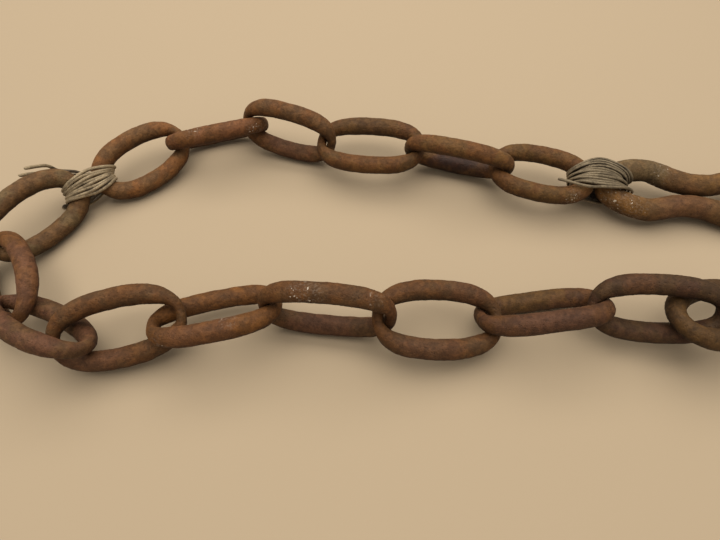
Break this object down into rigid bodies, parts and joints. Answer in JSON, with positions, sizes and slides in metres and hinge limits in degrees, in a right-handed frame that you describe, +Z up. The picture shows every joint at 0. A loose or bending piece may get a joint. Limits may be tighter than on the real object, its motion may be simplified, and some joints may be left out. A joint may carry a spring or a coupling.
{
  "type": "rusty chain",
  "caption": "Length of rusted hand-forged iron chain of worn oval links and one figure-eight link, laid in a hairpin with two butted joints bound in wire.",
  "frame": {"origin": "middle of the footprint, on the floor the chain lies on", "axes": "+X along the two long strands, from the bend of the hairpin to its open end; +Y from the strand of eight links to the strand with the figure-eight link; +Z up from the floor"},
  "size_m": [0.4264, 0.1604, 0.0393],
  "materials": {
    "iron": "hand-forged iron, evenly rusted, matte and pitted",
    "heavy_iron": "heavier forged iron, evenly rusted, matte and pitted",
    "wire": "dull grey-brown weathered iron wire"
  },
  "bodies": {
    "root": {"link_01": "iron", "link_02": "iron", "link_03": "iron", "link_04": "iron", "link_05": "iron", "link_06": "iron", "link_07": "iron", "link_08": "iron", "link_09": "iron", "link_10": "iron", "link_11": "iron", "link_12": "iron", "link_13": "iron", "link_14": "iron", "link_15": "iron", "link_16": "iron", "figure_eight_link": "heavy_iron", "binding_left": "wire", "binding_right": "wire"}
  },
  "joints": []
}
